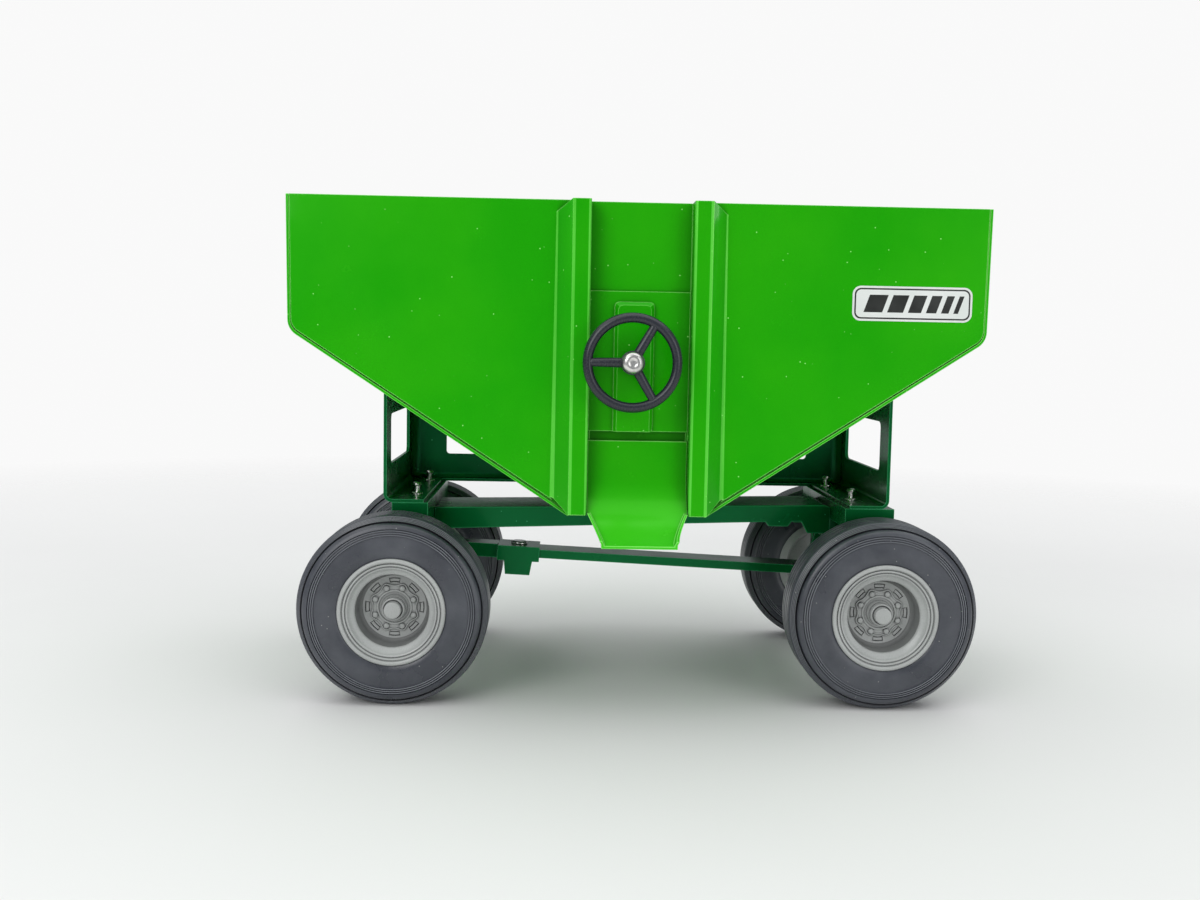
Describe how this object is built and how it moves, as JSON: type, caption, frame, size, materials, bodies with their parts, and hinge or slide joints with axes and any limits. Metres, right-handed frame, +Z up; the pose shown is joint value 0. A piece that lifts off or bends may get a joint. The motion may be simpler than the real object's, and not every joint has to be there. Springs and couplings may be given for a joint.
{
  "type": "gravity wagon",
  "caption": "Scale die-cast gravity wagon: V-bottomed grain hopper with side gate, handwheel and chute on a four-wheel steerable running gear with a folding tongue.",
  "frame": {"origin": "on the ground, under the middle of the bounding box, which is the middle of the wheelbase", "axes": "+X towards the front of the wagon, -Y towards the discharge side, +Z up"},
  "size_m": [0.1902, 0.1361, 0.1385],
  "materials": {
    "hopper_green": "gloss enamel over sheet steel",
    "gear_green": "gloss enamel over die-cast and pressed metal",
    "steel": "plated",
    "rim_grey": "moulded",
    "tyre": "moulded rubber",
    "handwheel_black": "moulded",
    "decal": "printed label"
  },
  "bodies": {
    "wagon": {"near_side_panel": "hopper_green", "far_side_panel": "hopper_green", "rear_end_panel": "hopper_green", "front_end_panel": "hopper_green", "floor_ramp": "hopper_green", "door_cover_plate": "hopper_green", "gate_guides": "hopper_green", "chute": "hopper_green", "skirt": "gear_green", "skirt_rivets": "steel", "rear_bolster": "gear_green", "reach": "gear_green", "front_bolster": "gear_green", "kingpin": "steel", "rear_axle_rod": "steel", "rear_axle_caps": "rim_grey", "side_decal": "decal"},
    "gate": {"gate_plate": "hopper_green", "gate_rack": "steel"},
    "handwheel": {"handwheel": "handwheel_black", "handwheel_shaft": "steel", "pinion": "steel"},
    "front_axle": {"front_axle_bracket": "gear_green", "front_axle_rod": "steel", "front_axle_caps": "rim_grey", "tongue_pin": "steel"},
    "tongue": {"tongue_bar": "gear_green", "hitch_saddle": "gear_green", "hitch_tip": "gear_green", "hitch_rivet": "steel"},
    "front_near_wheel": {"front_near_tyre": "tyre", "front_near_rim": "rim_grey"},
    "front_far_wheel": {"front_far_tyre": "tyre", "front_far_rim": "rim_grey"},
    "rear_near_wheel": {"rear_near_tyre": "tyre", "rear_near_rim": "rim_grey"},
    "rear_far_wheel": {"rear_far_tyre": "tyre", "rear_far_rim": "rim_grey"}
  },
  "joints": [
    {"name": "handwheel_turn", "type": "hinge", "parent": "wagon", "child": "handwheel", "pos_m": [-0.0046, -0.062, 0.0965], "axis": [0, -1, 0], "range_deg": [0, 239.5]},
    {"name": "gate_slide", "type": "slide", "parent": "wagon", "child": "gate", "axis": [0, 0, 1], "range_m": [0, 0.0115]},
    {"name": "front_axle_steer", "type": "hinge", "parent": "wagon", "child": "front_axle", "pos_m": [0.0685, 0.008, 0.043], "axis": [0, 0, 1], "range_deg": [-12, 12]},
    {"name": "tongue_lift", "type": "hinge", "parent": "front_axle", "child": "tongue", "pos_m": [0.0605, 0.008, 0.0316], "axis": [0, 1, 0], "range_deg": [-16, 2]},
    {"name": "front_near_wheel_spin", "type": "hinge", "parent": "front_axle", "child": "front_near_wheel", "pos_m": [0.0685, -0.03425, 0.0266], "axis": [0, 1, 0], "continuous": true},
    {"name": "front_far_wheel_spin", "type": "hinge", "parent": "front_axle", "child": "front_far_wheel", "pos_m": [0.0685, 0.05025, 0.0266], "axis": [0, 1, 0], "continuous": true},
    {"name": "rear_near_wheel_spin", "type": "hinge", "parent": "wagon", "child": "rear_near_wheel", "pos_m": [-0.0685, -0.03425, 0.0266], "axis": [0, 1, 0], "continuous": true},
    {"name": "rear_far_wheel_spin", "type": "hinge", "parent": "wagon", "child": "rear_far_wheel", "pos_m": [-0.0685, 0.05025, 0.0266], "axis": [0, 1, 0], "continuous": true}
  ],
  "couplings": [
    {"joint": "gate_slide", "follows": "handwheel_turn", "m_per_rad": 0.00275}
  ]
}
